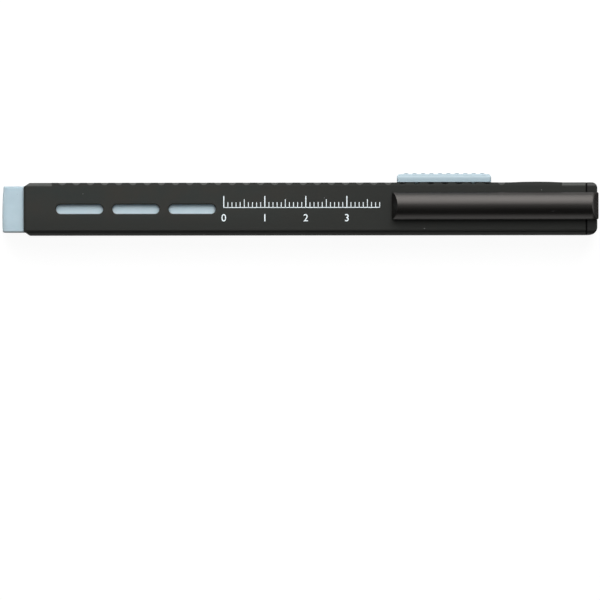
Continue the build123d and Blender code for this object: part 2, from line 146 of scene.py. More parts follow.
def ramp_range(
    tree: bpy.types.ShaderNodeTree,
    value: bpy.types.NodeSocket,
    source: Span,
    target: Span,
) -> bpy.types.NodeSocket:
    """Maps a value from one range to another, clamped.

    Args:
        tree: The node tree.
        value: The socket to map.
        source: The range that is read.
        target: The range that is given.

    Returns:
        The mapped value's socket.
    """
    node = tree.nodes.new("ShaderNodeMapRange")
    for name, number in zip(("From Min", "From Max", "To Min", "To Max"), (*source, *target)):
        node.inputs[name].default_value = number
    tree.links.new(value, node.inputs["Value"])
    return node.outputs["Result"]


def specks(
    tree: bpy.types.ShaderNodeTree,
    spacing_mm: float,
    radii: Span,
    strength: float,
) -> bpy.types.NodeSocket:
    """Adds round specks, at most one in each cell of a pattern on Object coordinates.

    Args:
        tree: The node tree.
        spacing_mm: Size of the cells, in millimetres.
        radii: Where a speck starts to fade and where it ends, as shares of the cells' size.
        strength: The value inside a speck; it is 0 around them.

    Returns:
        The specks' value.
    """
    coordinates = tree.nodes.new("ShaderNodeTexCoord")
    cells = tree.nodes.new("ShaderNodeTexVoronoi")
    cells.inputs["Scale"].default_value = 1.0 / (spacing_mm * MM)
    tree.links.new(coordinates.outputs["Object"], cells.inputs["Vector"])
    return ramp_range(tree, cells.outputs["Distance"], radii, (strength, 0.0))


def joined(
    tree: bpy.types.ShaderNodeTree,
    operation: str,
    first: bpy.types.NodeSocket,
    second: bpy.types.NodeSocket,
) -> bpy.types.NodeSocket:
    """Joins two values by an operation of the Math node.

    Args:
        tree: The node tree.
        operation: The operation's name, such as "MULTIPLY" or "MAXIMUM".
        first: The first value.
        second: The second value.

    Returns:
        The result's socket.
    """
    node = tree.nodes.new("ShaderNodeMath")
    node.operation = operation
    tree.links.new(first, node.inputs[0])
    tree.links.new(second, node.inputs[1])
    return node.outputs["Value"]


def place_mask(
    tree: bpy.types.ShaderNodeTree, axis: str, start_mm: float, end_mm: float
) -> bpy.types.NodeSocket:
    """Adds a soft step along one of the frame's axes.

    Args:
        tree: The node tree.
        axis: "X", "Y" or "Z".
        start_mm: Where the step starts, in millimetres; the value is 0 before it.
        end_mm: Where the step ends; the value is 1 past it. It may lie below the start.

    Returns:
        The step's value.
    """
    coordinates = tree.nodes.new("ShaderNodeTexCoord")
    parts = tree.nodes.new("ShaderNodeSeparateXYZ")
    tree.links.new(coordinates.outputs["Object"], parts.inputs["Vector"])
    step = tree.nodes.new("ShaderNodeMapRange")
    step.interpolation_type = "SMOOTHSTEP"
    step.inputs["From Min"].default_value = start_mm * MM
    step.inputs["From Max"].default_value = end_mm * MM
    tree.links.new(parts.outputs[axis], step.inputs["Value"])
    return step.outputs["Result"]


def mixed_value(
    tree: bpy.types.ShaderNodeTree,
    factor: bpy.types.NodeSocket,
    first: bpy.types.NodeSocket,
    second: float,
) -> bpy.types.NodeSocket:
    """Moves a value towards a plain number.

    Args:
        tree: The node tree.
        factor: 0 keeps the value and 1 gives the number.
        first: The value.
        second: The number.

    Returns:
        The mixed value's socket.
    """
    mix = tree.nodes.new("ShaderNodeMix")
    tree.links.new(factor, mix.inputs["Factor"])
    tree.links.new(first, mix.inputs["A"])
    mix.inputs["B"].default_value = second
    return mix.outputs["Result"]


def mixed_colour(
    tree: bpy.types.ShaderNodeTree,
    factor: bpy.types.NodeSocket,
    first: Colour | bpy.types.NodeSocket,
    second: Colour | bpy.types.NodeSocket,
) -> bpy.types.NodeSocket:
    """Mixes two colours by a factor.

    Args:
        tree: The node tree.
        factor: 0 gives the first colour and 1 the second.
        first: A colour, or a socket that gives one.
        second: A colour, or a socket that gives one.

    Returns:
        The mixed colour's socket.
    """
    mix = tree.nodes.new("ShaderNodeMix")
    mix.data_type = "RGBA"
    tree.links.new(factor, mix.inputs["Factor"])
    for name, colour in (("A", first), ("B", second)):
        socket = next(s for s in mix.inputs if s.name == name and s.type == "RGBA")
        if isinstance(colour, tuple):
            socket.default_value = (*colour, 1.0)
        else:
            tree.links.new(colour, socket)
    return next(s for s in mix.outputs if s.type == "RGBA")


def bumped(
    tree: bpy.types.ShaderNodeTree,
    shader: bpy.types.Node,
    layers: list[tuple[bpy.types.NodeSocket, float]],
) -> None:
    """Chains bumps into the shader's normal.

    Args:
        tree: The node tree.
        shader: The Principled shader that takes the normal.
        layers: Pairs of a height socket and the millimetres that its full range stands for.
    """
    last = None
    for height, height_mm in layers:
        bump = tree.nodes.new("ShaderNodeBump")
        bump.inputs["Distance"].default_value = height_mm * MM
        bump.inputs["Strength"].default_value = 1.0
        tree.links.new(height, bump.inputs["Height"])
        if last is not None:
            tree.links.new(last, bump.inputs["Normal"])
        last = bump.outputs["Normal"]
    tree.links.new(last, shader.inputs["Normal"])


def seen_ray(tree: bpy.types.ShaderNodeTree) -> bpy.types.NodeSocket:
    """Tells the rays that show the surroundings from those that light the stick.

    Args:
        tree: The node tree.

    Returns:
        A socket that is 1 for camera, glossy and transmission rays, and 0 for the others.
    """
    path = tree.nodes.new("ShaderNodeLightPath")
    value = path.outputs["Is Camera Ray"]
    for name in ("Is Glossy Ray", "Is Transmission Ray"):
        value = joined(tree, "MAXIMUM", value, path.outputs[name])
    return value


@dataclass(frozen=True)
class Zone:
    """Part of a surface with its own roughness and tint.

    Attributes:
        axis: Axis of the frame along which the zone begins.
        start_mm: Where it starts to show.
        end_mm: Where it is full.
        roughness: Roughness inside the zone.
        colour: Colour inside the zone.
    """

    axis: str
    start_mm: float
    end_mm: float
    roughness: float
    colour: Colour


@dataclass(frozen=True)
class MouldedPlastic:
    """Finish of a moulded piece: fine spark-eroded grain, faint clouding, sparse dust.

    Attributes:
        name: The material's name.
        colour: The plastic's colour.
        cloud_colour: The colour that faint clouds lean to.
        roughness: Mean roughness.
        roughness_swing: How far clouds move the roughness each way.
        cloud_mm: Size of the clouds.
        cloud_span: Part of the clouds' noise over which the colour changes.
        rough_span: Part of the clouds' noise over which the roughness changes.
        wave_mm: Size of the faint waves that moulding leaves on the faces.
        wave_height_mm: Height of the waves.
        grain_mm: Size of the grain.
        grain_height_mm: Depth of the grain.
        streak: Factors on the coordinates that draw the clouds out, as on a rubbed surface.
        specular: Specular level; 0.5 is a plain plastic.
        dust: Size of the specks of dust, as a share of their spacing.
        dust_core_share: Part of a speck that is full.
        dust_spacing_mm: Spacing of the specks.
        dust_colour: Their colour.
        zones: Surface parts with their own finish: rubbed edges, painted shade, painted light.
        sheen_tint: Tint of the reflections.
    """

    name: str
    colour: Colour
    cloud_colour: Colour
    roughness: float
    roughness_swing: float = 0.05
    cloud_mm: float = 7.0
    cloud_span: Span = (0.35, 0.65)
    rough_span: Span = MIDDLE
    wave_mm: float = 12.0
    wave_height_mm: float = 0.03
    grain_mm: float = 0.18
    grain_height_mm: float = 0.006
    streak: tuple[float, float, float] = (1.0, 1.0, 1.0)
    specular: float = 0.25
    dust: float = 0.0
    dust_core_share: float = 0.6
    dust_spacing_mm: float = 3.2
    dust_colour: Colour = (0.35, 0.36, 0.36)
    zones: tuple[Zone, ...] = ()
    sheen_tint: Colour = (1.0, 1.0, 1.0)

    def material(self) -> bpy.types.Material:
        """Builds the node material."""
        material, tree, shader = new_material(self.name)
        clouds = object_noise(tree, self.cloud_mm, CLOUD_DETAIL, self.streak)
        share = ramp_range(tree, clouds, self.cloud_span, WHOLE)
        colour = mixed_colour(tree, share, self.colour, self.cloud_colour)
        low, high = self.roughness - self.roughness_swing, self.roughness + self.roughness_swing
        roughness = ramp_range(tree, clouds, self.rough_span, (low, high))
        for zone in self.zones:
            mask = place_mask(tree, zone.axis, zone.start_mm, zone.end_mm)
            colour = mixed_colour(tree, mask, colour, zone.colour)
            roughness = mixed_value(tree, mask, roughness, zone.roughness)
        if self.dust:
            radii = (self.dust * self.dust_core_share, self.dust)
            specked = specks(tree, self.dust_spacing_mm, radii, 1.0)
            colour = mixed_colour(tree, specked, colour, self.dust_colour)
        tree.links.new(colour, shader.inputs["Base Color"])
        shader.inputs["Specular IOR Level"].default_value = self.specular
        shader.inputs["Specular Tint"].default_value = (*self.sheen_tint, 1.0)
        tree.links.new(roughness, shader.inputs["Roughness"])
        grain = object_noise(tree, self.grain_mm, GRAIN_DETAIL)
        wave = object_noise(tree, self.wave_mm, WAVE_DETAIL, self.streak)
        bumped(tree, shader, [(wave, self.wave_height_mm), (grain, self.grain_height_mm)])
        return material


@dataclass(frozen=True)
class SoftVinyl:
    """Finish of the eraser: matt, slightly translucent, mottled, smeared at the tip.

    Its long edges carry painted shade, and inside the barrel it carries painted light.

    Attributes:
        name: The material's name.
        colour: The vinyl's colour at the tip.
        mottle_colour: The colour that the mottling leans to.
        mottle_mm: Size of the mottling.
        mottle_span: Part of the mottling's noise over which the colour changes.
        window_lift_mm: Where along X the vinyl turns lighter, inside the barrel: painted light.
        window_lift_span: Strength of the painted light, from fully mottled to plain vinyl.
        window_lift_colour: The lighter colour, painted light where the windows shade the vinyl.
        speck_spacing_mm: Spacing of the dark specks.
        speck_radii: Where a speck starts to fade and where it ends, as shares of the spacing.
        speck_strength: How dark the specks are.
        speck_colour: Their colour.
        tip_mm: X of the tip.
        smear_mm: How far the grey smear reaches from the tip.
        smear_patch_mm: Size of the patches in the smear.
        smear_span: Strength of the smear, from its thinnest to its thickest patches.
        smear_colour: Its colour.
        edge_shade_mm: Distances from the middle along Y between which the long edges darken.
        edge_shade_colour: Their colour: painted shade.
        roughness: Roughness.
        depth_mm: How far light spreads under the surface.
        depth_weight: Share of the light that does.
        depth_tint: Reach of the light for red, green and blue, as shares of the depth.
        drag_mm: Size of the drag marks.
        drag_height_mm: Their height.
        drag_streak: Factors on the coordinates that draw them out.
        pore_mm: Size of the pores.
        pore_height_mm: Their depth.
    """

    name: str = "vinyl_blue_grey"
    colour: Colour = (0.455, 0.57, 0.63)
    mottle_colour: Colour = (0.42, 0.535, 0.595)
    mottle_mm: float = 3.5
    mottle_span: Span = (0.35, 0.7)
    window_lift_mm: Span = (-65.0, -61.5)
    window_lift_span: Span = (1.0, 0.8)
    window_lift_colour: Colour = (0.56, 0.69, 0.755)
    speck_spacing_mm: float = 2.6
    speck_radii: Span = (0.025, 0.05)
    speck_strength: float = 0.6
    speck_colour: Colour = (0.2, 0.24, 0.27)
    tip_mm: float = -72.7
    smear_mm: float = 1.6
    smear_patch_mm: float = 1.1
    smear_span: Span = (0.15, 0.75)
    smear_colour: Colour = (0.33, 0.39, 0.42)
    edge_shade_mm: Span = (5.15, 5.6)
    edge_shade_colour: Colour = (0.34, 0.39, 0.42)
    roughness: float = 0.62
    depth_mm: float = 1.2
    depth_weight: float = 0.7
    depth_tint: Colour = (0.9, 1.0, 1.0)
    drag_mm: float = 1.4
    drag_height_mm: float = 0.02
    drag_streak: tuple[float, float, float] = (1.0, 1.0, 0.5)
    pore_mm: float = 0.12
    pore_height_mm: float = 0.006

    def stained(self, tree: bpy.types.ShaderNodeTree) -> bpy.types.NodeSocket:
        """Builds the colour: mottling, painted light, specks, smear and painted shade on the
        edges.

        Args:
            tree: The node tree.

        Returns:
            The colour's socket.
        """
        blots = object_noise(tree, self.mottle_mm, MOTTLE_DETAIL)
        mottle = ramp_range(tree, blots, self.mottle_span, WHOLE)
        colour = mixed_colour(tree, mottle, self.colour, self.mottle_colour)
        # Painted light: the vinyl lighter inside the barrel, where the windows shade it.
        inside = place_mask(tree, "X", *self.window_lift_mm)
        window_lift_share = joined(tree, "MULTIPLY", inside, ramp_range(tree, mottle, WHOLE, self.window_lift_span))
        colour = mixed_colour(tree, window_lift_share, colour, self.window_lift_colour)
        specked = specks(tree, self.speck_spacing_mm, self.speck_radii, self.speck_strength)
        colour = mixed_colour(tree, specked, colour, self.speck_colour)
        worn = place_mask(tree, "X", self.tip_mm + self.smear_mm, self.tip_mm)
        patches = object_noise(tree, self.smear_patch_mm, CLOUD_DETAIL)
        uneven = ramp_range(tree, patches, MIDDLE, self.smear_span)
        smear = joined(tree, "MULTIPLY", worn, uneven)
        colour = mixed_colour(tree, smear, colour, self.smear_colour)
        # Painted shade: the long edges darker on both sides.
        for side in (1.0, -1.0):
            edge = place_mask(tree, "Y", *(side * place for place in self.edge_shade_mm))
            colour = mixed_colour(tree, edge, colour, self.edge_shade_colour)
        return colour

    def material(self) -> bpy.types.Material:
        """Builds the node material."""
        material, tree, shader = new_material(self.name)
        tree.links.new(self.stained(tree), shader.inputs["Base Color"])
        shader.inputs["Roughness"].default_value = self.roughness
        shader.inputs["Subsurface Weight"].default_value = self.depth_weight
        shader.inputs["Subsurface Radius"].default_value = self.depth_tint
        shader.inputs["Subsurface Scale"].default_value = self.depth_mm * MM
        pores = object_noise(tree, self.pore_mm, GRAIN_DETAIL)
        drag = object_noise(tree, self.drag_mm, CLOUD_DETAIL, self.drag_streak)
        bumped(tree, shader, [(drag, self.drag_height_mm), (pores, self.pore_height_mm)])
        return material


@dataclass(frozen=True)
class PrintInk:
    """Finish of the printed scale: white ink, thin in places.

    Attributes:
        name: The material's name.
        colour: The ink's colour.
        thin_colour: Its colour where it is thin.
        patch_mm: Size of the thin patches.
        patch_span: Part of their noise over which the ink thins.
        roughness: Roughness.
        grain_mm: Size of the grain.
        grain_height_mm: Its height.
    """

    name: str = "white_ink"
    colour: Colour = (0.84, 0.92, 0.95)
    thin_colour: Colour = (0.66, 0.74, 0.77)
    patch_mm: float = 0.5
    patch_span: Span = (0.45, 0.75)
    roughness: float = 0.5
    grain_mm: float = 0.1
    grain_height_mm: float = 0.002

    def material(self) -> bpy.types.Material:
        """Builds the node material."""
        material, tree, shader = new_material(self.name)
        patches = object_noise(tree, self.patch_mm, CLOUD_DETAIL)
        cover = ramp_range(tree, patches, self.patch_span, WHOLE)
        colour = mixed_colour(tree, cover, self.colour, self.thin_colour)
        tree.links.new(colour, shader.inputs["Base Color"])
        shader.inputs["Roughness"].default_value = self.roughness
        grain = object_noise(tree, self.grain_mm, GRAIN_DETAIL)
        bumped(tree, shader, [(grain, self.grain_height_mm)])
        return material


def piece_from(bm: bmesh.types.BMesh, name: str, smooth: bool = True) -> bpy.types.Object:
    """Turns a bmesh into an object at the origin, with its normals outwards.

    Args:
        bm: The bmesh, which is freed.
        name: The object's name.
        smooth: Whether its faces are shaded smooth.

    Returns:
        The linked object.
    """
    bmesh.ops.recalc_face_normals(bm, faces=bm.faces)
    mesh = bpy.data.meshes.new(name)
    bm.to_mesh(mesh)
    bm.free()
    for polygon in mesh.polygons:
        polygon.use_smooth = smooth
    piece = bpy.data.objects.new(name, mesh)
    bpy.context.scene.collection.objects.link(piece)
    return piece


def dress(piece: bpy.types.Object, material: bpy.types.Material) -> None:
    """Gives a piece its one material.

    Args:
        piece: The object.
        material: Its finish.
    """
    if not piece.material_slots:
        piece.data.materials.append(material)
    for material_slot in piece.material_slots:
        material_slot.material = material
    LOG.info("dressed %s in %s", piece.name, material.name)


@dataclass
class PrintedScale:
    """Plain measuring scale printed on the front face, between the windows and the clip.

    Attributes:
        ink: The finish.
        start_mm: X of the scale's zero.
        base_mm: Y of its base line.
        length_mm: Its length, in whole millimetres.
        line_mm: Width of the base line and of the common ticks.
        long_line_mm: Width of the long ticks.
        figure_mm: Size of the figures.
        figure_drop_mm: How far the figures' feet lie under the base line.
        figure_swell_mm: How much bolder the figures are than plain.
        film_mm: Thickness of the ink.
    """

    ink: PrintInk = field(default_factory=PrintInk)
    start_mm: float = -18.6
    base_mm: float = 0.35
    length_mm: int = 38
    line_mm: float = 0.17
    long_line_mm: float = 0.24
    figure_mm: float = 2.5
    figure_drop_mm: float = 3.35
    figure_swell_mm: float = 0.01
    film_mm: float = 0.02

    def tick(self, number: int) -> tuple[Tick, float]:
        """Gives the length and the width of the scale's line at a whole millimetre.

        Args:
            number: Millimetres from the scale's start.

        Returns:
            The line's kind and its width in millimetres.
        """
        if number % 10 == 0:
            return Tick.LONG, self.long_line_mm
        return (Tick.MIDDLE if number % 5 == 0 else Tick.SHORT), self.line_mm

    def lines(self, face_z: float) -> bpy.types.Object:
        """Builds the base line and the ticks as thin films of ink.

        Args:
            face_z: Height of the barrel's front face.

        Returns:
            The object.
        """
        bm = bmesh.new()
        bars = [(self.length_mm / 2, 0.0, self.length_mm + self.line_mm, self.line_mm)]
        for number in range(self.length_mm + 1):
            kind, width = self.tick(number)
            bars.append((number, kind.value / 2, width, kind.value))
        for x, y, width, height in bars:
            place = Matrix.Translation(
                ((self.start_mm + x) * MM, (self.base_mm + y) * MM, face_z + self.film_mm * MM / 2)
            )
            size = Matrix.Diagonal((width * MM, height * MM, self.film_mm * MM, 1.0))
            bmesh.ops.create_cube(bm, size=1.0, matrix=place @ size)
        return piece_from(bm, "printed_scale_lines", smooth=False)

    def figures(self, face_z: float) -> bpy.types.Object:
        """Builds the numbers under the long ticks.

        Args:
            face_z: Height of the barrel's front face.

        Returns:
            The object.
        """
        bm = bmesh.new()
        for number in range(0, self.length_mm + 1, 10):
            curve = bpy.data.curves.new("figure", "FONT")
            curve.body = str(number // 10)
            curve.size = self.figure_mm * MM
            curve.align_x = "CENTER"
            curve.extrude = self.film_mm * MM / 2
            curve.offset = self.figure_swell_mm * MM
            holder = bpy.data.objects.new("figure", curve)
            mesh = bpy.data.meshes.new_from_object(holder)
            mesh.transform(
                Matrix.Translation(
                    (
                        (self.start_mm + number) * MM,
                        (self.base_mm - self.figure_drop_mm) * MM,
                        face_z + self.film_mm * MM / 2,
                    )
                )
            )
            bm.from_mesh(mesh)
            bpy.data.objects.remove(holder)
            bpy.data.curves.remove(curve)
            bpy.data.meshes.remove(mesh)
        bmesh.ops.remove_doubles(bm, verts=bm.verts, dist=WELD)
        return piece_from(bm, "printed_scale_figures", smooth=False)

    def build(self, face_z: float) -> None:
        """Builds the print and lets it ride on the holder.

        Args:
            face_z: Height of the barrel's front face.
        """
        material = self.ink.material()
        for piece in (self.lines(face_z), self.figures(face_z)):
            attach(piece, Body.HOLDER.value)
            dress(piece, material)


@dataclass
class Holder:
    """Barrel, end cap and clip: moulded CAD pieces that keep their shape, and the print.

    Attributes:
        barrel: The barrel's finish: rubbed rails, painted shade towards -Y and towards the tail
        around the clip, and painted shade in the seam at its end.
        cap: The end cap's finish, with painted shade in the seam.
        clip: The clip's finish, dull at its tail, with painted shade on the tail facet.
        scale: The print.
    """

    barrel: MouldedPlastic = MouldedPlastic(
        "barrel_satin_black",
        (0.0225, 0.0215, 0.0187),
        (0.0195, 0.0226, 0.0213),
        0.6,
        dust=0.03,
        zones=(
            # Painted shade: the front face darker towards -Y, away from the lamps.
            Zone("Y", 0.5, -4.5, 0.62, (0.0168, 0.0178, 0.0163)),
            # Painted shade: the front face darker towards the tail, where the clip shades it.
            Zone("X", -20.0, 25.0, 0.6, (0.015, 0.0158, 0.0145)),
            Zone("Y", 5.45, 5.95, 0.4, (0.023, 0.024, 0.0225)),
            # Painted shade in the seam: the barrel's end near black and fully rough.
            Zone("X", 69.5, 69.66, 1.0, (0.002, 0.002, 0.002)),
        ),
        sheen_tint=(0.97, 1.0, 0.96),
    )
    cap: MouldedPlastic = MouldedPlastic(
        "cap_satin_black",
        (0.009, 0.0095, 0.0088),
        (0.012, 0.0125, 0.0116),
        0.42,
        # Painted shade in the seam: the cap's front near black and fully rough.
        zones=(Zone("X", 70.05, 69.96, 1.0, (0.001, 0.001, 0.001)),),
    )
    clip: MouldedPlastic = MouldedPlastic(
        "clip_polished_black",
        (0.004, 0.0038, 0.0036),
        (0.006, 0.0057, 0.0054),
        0.33,
        specular=0.42,
        grain_mm=0.12,
        grain_height_mm=0.003,
        streak=(0.12, 1.0, 1.0),
        dust=0.02,
        # Painted shade: the tail facet darkened in colour, and fully rough.
        zones=(Zone("X", 70.9, 71.8, 1.0, (0.001, 0.001, 0.001)),),
        sheen_tint=(1.0, 0.94, 0.9),
    )
    scale: PrintedScale = field(default_factory=PrintedScale)

    def build(self) -> None:
        """Dresses the three CAD nodes and builds the print."""
        dress(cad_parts["barrel"], self.barrel.material())
        dress(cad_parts["end_cap"], self.cap.material())
        dress(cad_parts["clip"], self.clip.material())
        face_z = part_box("barrel")[1].z
        self.scale.build(face_z)


@dataclass
class SoftEraser:
    """Eraser with soft edges, a worn tip, a key-shaped tab and a shallow frame on its face.

    Attributes:
        vinyl: The finish.
        edge_round_mm: Round of the long edges.
        tip_round_mm: Round of the tip's edges.
        tab_steps_mm: Steps of the tab: distance from the shoulder and half width.
        panel_mm: The frame's distance from the shoulder, length and width.
        panel_line_mm: Width of the frame's line.
        panel_sink_mm: Depth of the frame's line.
        bow_mm: How far the tip is worn back at its +Y corner.
        wear_reach_mm: How far from the tip the wear reaches.
        bow_start_share: Where across the tip the bow starts, as a share of the half width.
        bow_power: How fast the bow grows towards the +Y corner.
        rim_share: Wear of the -Y corner, as a share of the bow.
        rim_power: How narrow that wear is.
        crown_share: Wear of the tip's front and back edges, as a share of the bow.
        crown_power: How narrow that wear is.
        rough_mm: Size of the worn surface's unevenness.
        rough_depth_mm: Its depth.
        near_tip_mm: Distances from the tip of the cuts across the block.
        across_mm: Distances from the middle of the cuts along the block.
        upright_mm: Distance from the middle of the cuts that lie level.
        edge_land_mm: Distance from a rounded edge to the first cut beside it.
        round_segments: Faces across each rounded edge.
        crease_deg: Edges sharper than this stay crisp.
    """

    vinyl: SoftVinyl = SoftVinyl()
    edge_round_mm: float = 0.35
    tip_round_mm: float = 0.34
    tab_steps_mm: tuple[tuple[float, float], ...] = (
        (0.0, 3.2),
        (1.6, 2.02),
        (4.1, 2.5),
        (4.9, 2.2),
        (5.2, 1.8),
    )
    panel_mm: tuple[float, float, float] = (3.2, 28.5, 6.7)
    panel_line_mm: float = 0.4
    panel_sink_mm: float = 0.2
    bow_mm: float = 0.3
    wear_reach_mm: float = 2.6
    bow_start_share: float = -0.25
    bow_power: float = 1.8
    rim_share: float = 0.45
    rim_power: float = 6.0
    crown_share: float = 0.35
    crown_power: float = 3.0
    rough_mm: float = 1.3
    rough_depth_mm: float = 0.05
    near_tip_mm: tuple[float, ...] = (
        *(0.7, 1.0, 1.4, 1.9, 2.5, 3.2, 4.0),
        *(5.0, 6.5, 9.0, 13.0, 20.0, 30.0, 40.0),
    )
    across_mm: tuple[float, ...] = (1.1, 2.2, 4.2)
    upright_mm: float = 0.9
    edge_land_mm: float = 0.15
    round_segments: int = 5
    crease_deg: float = 40.0

    def cuts(self, low: Vector, high: Vector, shoulder: float) -> list[tuple[int, float]]:
        """Lists the planes that divide the block.

        Args:
            low: The block's lower corner.
            high: The block's upper corner.
            shoulder: X of the shoulder in front of the tab.

        Returns:
            Pairs of an axis number and a place on it.
        """
        back, length, width = (value * MM for value in self.panel_mm)
        line = self.panel_line_mm * MM
        along = [low.x + step * MM for step in self.near_tip_mm]
        along += [shoulder - back, shoulder - back - line]
        along += [shoulder - back - length, shoulder - back - length + line]
        root = self.tab_steps_mm[0][1] * MM
        half = width / 2
        land = (self.edge_round_mm + self.edge_land_mm) * MM
        sides = [step * MM for step in self.across_mm] + [half, half - line, root, high.y - land]
        across = [0.0]
        for place in sides:
            across += [place, -place]
        middle = (low.z + high.z) / 2
        upright = [middle]
        for place in ((high.z - low.z) / 2 - land, self.upright_mm * MM):
            upright += [middle + place, middle - place]
        return [(0, x) for x in along] + [(1, y) for y in across] + [(2, z) for z in upright]

    def block(self, low: Vector, high: Vector, shoulder: float) -> bmesh.types.BMesh:
        """Makes the rounded and divided block without its tab.

        Args:
            low: The block's lower corner.
            high: The block's upper corner.
            shoulder: X of the shoulder in front of the tab.

        Returns:
            The bmesh.
        """
        bm = bmesh.new()
        size = Vector((shoulder, high.y, high.z)) - low
        place = Matrix.Translation(low + size / 2) @ Matrix.Diagonal((*size, 1.0))
        bmesh.ops.create_cube(bm, size=1.0, matrix=place)
        long_edges = [e for e in bm.edges if abs(e.verts[0].co.x - e.verts[1].co.x) > size.x / 2]
        self.rounded(bm, long_edges, self.edge_round_mm)
        tip_edges = [e for e in bm.edges if all(v.co.x < low.x + NEAR for v in e.verts)]
        self.rounded(bm, tip_edges, self.tip_round_mm)
        for axis, place in self.cuts(low, high, shoulder):
            point = Vector((0.0, 0.0, 0.0))
            point[axis] = place
            normal = Vector((0.0, 0.0, 0.0))
            normal[axis] = 1.0
            geometry = bm.verts[:] + bm.edges[:] + bm.faces[:]
            bmesh.ops.bisect_plane(bm, geom=geometry, dist=WELD, plane_co=point, plane_no=normal)
        return bm

    def rounded(
        self, bm: bmesh.types.BMesh, edges: list[bmesh.types.BMEdge], radius_mm: float
    ) -> None:
        """Rounds edges of the block.

        Args:
            bm: The block.
            edges: The edges.
            radius_mm: Their round.
        """
        bmesh.ops.bevel(
            bm,
            geom=edges,
            offset=radius_mm * MM,
            segments=self.round_segments,
            profile=ROUND_PROFILE,
            affect="EDGES",
            material=-1,
            clamp_overlap=True,
        )

    def add_tab(self, bm: bmesh.types.BMesh, shoulder: float) -> None:
        """Draws the key-shaped tab out of the shoulder.

        Args:
            bm: The block.
            shoulder: X of the shoulder.
        """
        root = self.tab_steps_mm[0][1] * MM
        faces = [
            face
            for face in bm.faces
            if all(v.co.x > shoulder - NEAR and abs(v.co.y) < root + NEAR for v in face.verts)
        ]
        steps = zip(self.tab_steps_mm, self.tab_steps_mm[1:])
        for (start, half), (end, next_half) in steps:
            made = bmesh.ops.extrude_face_region(bm, geom=faces)["geom"]
            bmesh.ops.delete(bm, geom=faces, context="FACES_ONLY")
            verts = [item for item in made if isinstance(item, bmesh.types.BMVert)]
            faces = [item for item in made if isinstance(item, bmesh.types.BMFace)]
            bmesh.ops.translate(bm, verts=verts, vec=((end - start) * MM, 0.0, 0.0))
            bmesh.ops.scale(bm, verts=verts, vec=(1.0, next_half / half, 1.0))

    def add_frame(self, bm: bmesh.types.BMesh, top: float, shoulder: float) -> None:
        """Sinks the frame's line into the front face.

        Args:
            bm: The block.
            top: Height of the eraser's front face.
            shoulder: X of the shoulder.
        """
        back, length, width = (value * MM for value in self.panel_mm)
        line = self.panel_line_mm * MM
        middle = shoulder - back - length / 2
        ring = []
        for face in bm.faces:
            centre = face.calc_center_median()
            if centre.z < top - NEAR:
                continue
            x, y = abs(centre.x - middle), abs(centre.y)
            inside = x < length / 2 and y < width / 2
            if inside and not (x < length / 2 - line and y < width / 2 - line):
                ring.append(face)
        made = bmesh.ops.extrude_face_region(bm, geom=ring)["geom"]
        bmesh.ops.delete(bm, geom=ring, context="FACES")
        verts = [item for item in made if isinstance(item, bmesh.types.BMVert)]
        bmesh.ops.translate(bm, verts=verts, vec=(0.0, 0.0, -self.panel_sink_mm * MM))

    def wear(self, bm: bmesh.types.BMesh, low: Vector, high: Vector) -> None:
        """Rubs the tip back, most at its +Y corner, and leaves it slightly uneven.

        Args:
            bm: The block.
            low: The eraser's lower corner.
            high: The eraser's upper corner.
        """
        bm.normal_update()
        reach = self.wear_reach_mm * MM
        middle = (low.z + high.z) / 2
        for vert in bm.verts:
            depth = (vert.co.x - low.x) / reach
            if depth >= 1.0:
                continue
            share = (1.0 - depth) ** 2
            across = vert.co.y / high.y
            bow = max(0.0, (across - self.bow_start_share) / (1.0 - self.bow_start_share))
            rim = self.rim_share * max(0.0, -across) ** self.rim_power
            crown = abs(vert.co.z - middle) / (high.z - middle)
            edge = self.crown_share * crown**self.crown_power
            back = self.bow_mm * (bow**self.bow_power + rim + edge)
            rough = (1.0 + noise.noise(vert.co / (self.rough_mm * MM))) / 2
            vert.co -= vert.normal * self.rough_depth_mm * MM * share * rough
            vert.co.x = max(vert.co.x, low.x) + back * MM * share

    def build(self) -> None:
        """Builds the eraser in place of the plain solid."""
        low, high = (Vector(corner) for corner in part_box("eraser"))
        shoulder = high.x - self.tab_steps_mm[-1][0] * MM
        bm = self.block(low, high, shoulder)
        self.add_tab(bm, shoulder)
        self.add_frame(bm, high.z, shoulder)
        self.wear(bm, low, high)
        bmesh.ops.recalc_face_normals(bm, faces=bm.faces)
        for edge in bm.edges:
            edge.smooth = edge.calc_face_angle(0.0) < math.radians(self.crease_deg)
        piece = piece_from(bm, "soft_eraser")
        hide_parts("eraser")
        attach(piece, Body.SLIDER.value)
        dress(piece, self.vinyl.material())


